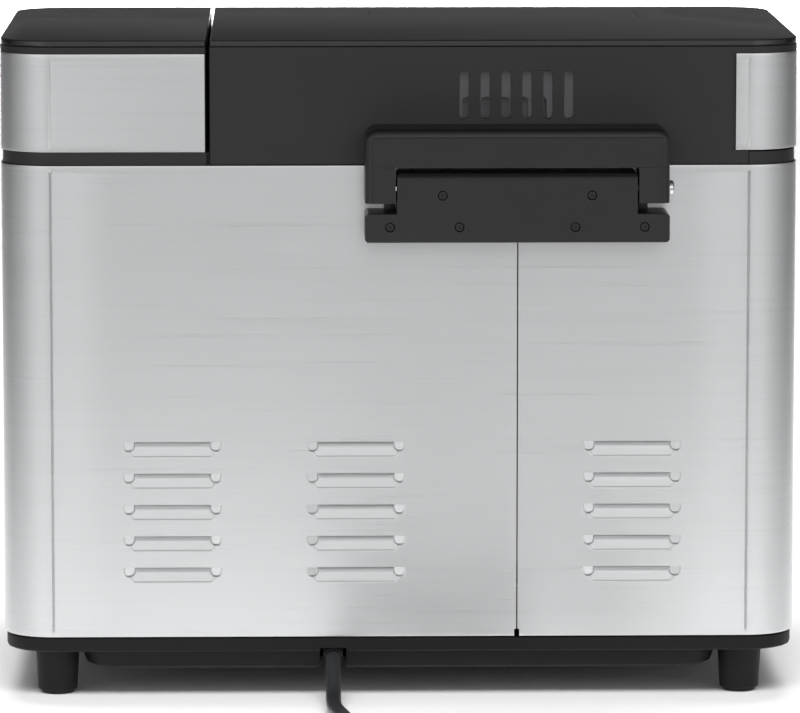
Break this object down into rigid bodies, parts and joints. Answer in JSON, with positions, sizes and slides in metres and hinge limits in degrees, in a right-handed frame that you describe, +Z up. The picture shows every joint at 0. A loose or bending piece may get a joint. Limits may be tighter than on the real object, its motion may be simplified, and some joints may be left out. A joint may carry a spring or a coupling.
{
  "type": "bread machine",
  "caption": "Automatic bread machine with a steel body, a hinged lid with a window, a lift-out pan, a belt-driven paddle and a touch control panel beside the lid.",
  "frame": {"origin": "on the surface that the machine stands on, under the middle of the machine's box without the cord, coil and plug", "axes": "+Z up, -Y towards the front, where the user stands, +X towards the control housing"},
  "size_m": [0.368, 0.4108, 0.308],
  "materials": {
    "plastic": "moulded, low sheen",
    "rubber": "matt",
    "steel": "horizontally brushed, satin",
    "plain_steel": "plain sheet, dull",
    "chrome": "polished",
    "brass": "plated",
    "glass": "black-backed, polished",
    "clear": "tinted, polished",
    "board": "lacquered board",
    "aluminium": "cast, satin",
    "silicone": "matt",
    "coating": "non-stick coating, low sheen"
  },
  "bodies": {
    "body": {"base_pan": "plastic", "foot_1": "rubber", "foot_2": "rubber", "foot_3": "rubber", "foot_4": "rubber", "body_wrap": "steel", "deck": "plastic", "baking_chamber": "plain_steel", "heating_element": "plain_steel", "temperature_sensor": "chrome", "pan_seat": "plain_steel", "chassis_plate": "plain_steel", "shaft_bearing": "brass", "motor_body": "plain_steel", "drive_belt": "rubber", "control_frame": "plastic", "control_trim": "steel", "control_glass": "glass", "display": "clear", "control_board": "board", "hinge_base": "plastic", "hinge_pin": "chrome", "hinge_screw_1": "plastic", "hinge_screw_2": "plastic", "hinge_screw_3": "plastic", "hinge_screw_4": "plastic", "hinge_screw_5": "plastic", "hinge_screw_6": "plastic", "strain_relief": "rubber", "power_cord": "rubber", "cord_coil": "rubber", "plug_lead": "rubber", "plug": "rubber", "plug_blade_1": "brass", "plug_blade_2": "brass", "plug_ground": "brass"},
    "lid": {"lid_frame": "plastic", "lid_trim": "steel", "lid_glass": "glass", "lid_window": "clear", "lid_liner": "aluminium", "liner_window": "clear", "lid_seal": "silicone", "vent_baffle": "plastic", "hinge_bracket": "plastic"},
    "pan": {"bread_pan": "coating", "pan_collar": "aluminium", "pan_bush": "aluminium"},
    "handle": {"pan_handle": "chrome", "handle_grip": "plastic"},
    "paddle": {"pan_shaft": "chrome", "pan_coupling": "aluminium", "kneading_paddle": "coating"},
    "drive": {"drive_shaft": "chrome", "drive_coupling": "aluminium", "large_pulley": "plastic"},
    "rotor": {"motor_shaft": "chrome", "motor_pulley": "plastic"}
  },
  "joints": [
    {"name": "lid_hinge", "type": "hinge", "parent": "body", "child": "lid", "pos_m": [-0.053, 0.1075, 0.2418], "axis": [-1, 0, 0], "range_deg": [0, 88]},
    {"name": "pan_lift", "type": "slide", "parent": "body", "child": "pan", "axis": [0, 0, 1], "range_m": [0, 0.012]},
    {"name": "handle_swing", "type": "hinge", "parent": "pan", "child": "handle", "pos_m": [-0.053, -0.013, 0.218], "axis": [1, 0, 0], "range_deg": [0, 180]},
    {"name": "drive_spin", "type": "hinge", "parent": "body", "child": "drive", "pos_m": [-0.053, -0.013, 0.05], "axis": [0, 0, 1], "continuous": true},
    {"name": "paddle_spin", "type": "hinge", "parent": "pan", "child": "paddle", "pos_m": [-0.053, -0.013, 0.1], "axis": [0, 0, 1], "continuous": true},
    {"name": "motor_spin", "type": "hinge", "parent": "body", "child": "rotor", "pos_m": [0.119, -0.013, 0.05], "axis": [0, 0, 1], "continuous": true}
  ],
  "couplings": [
    {"joint": "paddle_spin", "follows": "drive_spin", "ratio": 1},
    {"joint": "motor_spin", "follows": "drive_spin", "ratio": 4.2}
  ]
}
